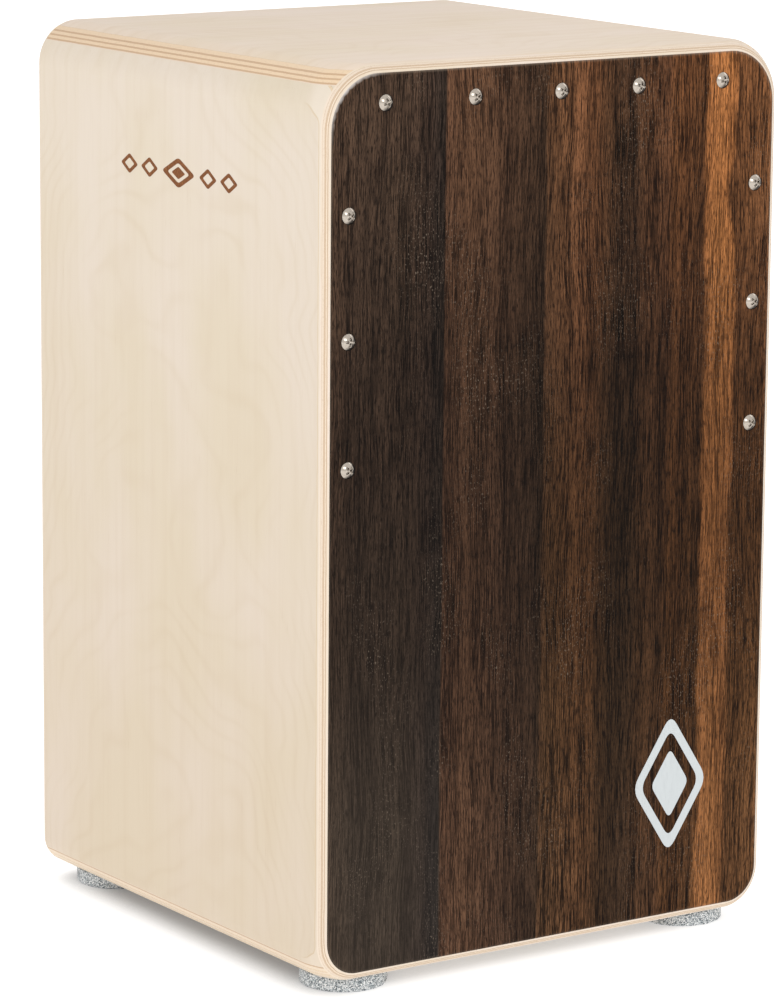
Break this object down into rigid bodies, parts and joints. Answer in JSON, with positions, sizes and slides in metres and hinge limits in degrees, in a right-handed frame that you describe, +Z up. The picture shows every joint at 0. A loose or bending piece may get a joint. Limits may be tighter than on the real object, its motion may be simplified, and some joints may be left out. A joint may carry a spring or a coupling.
{
  "type": "cajon",
  "caption": "Box drum of birch plywood with rounded edges, a screwed dark striped playing face, round felt feet, a sound hole in the back and a pull-off snare unit inside.",
  "frame": {"origin": "centre of the bounding box underside, on the floor between the feet", "axes": "+Z up, -Y towards the playing face (front), +X to the right when the playing face is looked at from the front"},
  "size_m": [0.3, 0.2994, 0.5],
  "materials": {
    "birch_plywood": "satin lacquered birch plywood with light and brown plies on its edges",
    "face_plywood": "thin lacquered plywood sheet",
    "dark_striped_veneer": "satin dark brown veneer in upright strips of different tone",
    "speckled_felt": "dense grey felt with light and dark flecks",
    "bright_nickel": "bright nickel plate",
    "zinc_steel": "zinc-plated steel",
    "snare_wire": "coiled bright steel wire",
    "spruce": "planed spruce, unfinished",
    "beech": "planed beech, oiled",
    "hook_tape": "black hook tape",
    "loop_tape": "black loop tape"
  },
  "bodies": {
    "box": {"back_panel": "birch_plywood", "bottom_panel": "birch_plywood", "face_screws": "bright_nickel", "face_veneer": "dark_striped_veneer", "front_bottom_batten": "spruce", "front_left_batten": "spruce", "front_left_foot": "speckled_felt", "front_right_batten": "spruce", "front_right_foot": "speckled_felt", "front_top_batten": "spruce", "left_hook_pad": "hook_tape", "left_panel": "birch_plywood", "lower_left_corner_batten": "spruce", "lower_right_corner_batten": "spruce", "playing_face": "face_plywood", "rear_bottom_batten": "spruce", "rear_left_batten": "spruce", "rear_left_foot": "speckled_felt", "rear_right_batten": "spruce", "rear_right_foot": "speckled_felt", "rear_top_batten": "spruce", "right_hook_pad": "hook_tape", "right_panel": "birch_plywood", "top_panel": "birch_plywood", "upper_left_corner_batten": "spruce", "upper_right_corner_batten": "spruce"},
    "snare_unit": {"left_loop_pad": "loop_tape", "left_snare_block": "beech", "left_snare_strip": "zinc_steel", "left_snare_wires": "snare_wire", "left_strip_screws": "zinc_steel", "right_loop_pad": "loop_tape", "right_snare_block": "beech", "right_snare_strip": "zinc_steel", "right_snare_wires": "snare_wire", "right_strip_screws": "zinc_steel", "snare_bar": "beech"}
  },
  "joints": [
    {"name": "snare_unit_pull_off", "type": "slide", "parent": "box", "child": "snare_unit", "axis": [0, 1, 0], "range_m": [0, 0.14]}
  ]
}
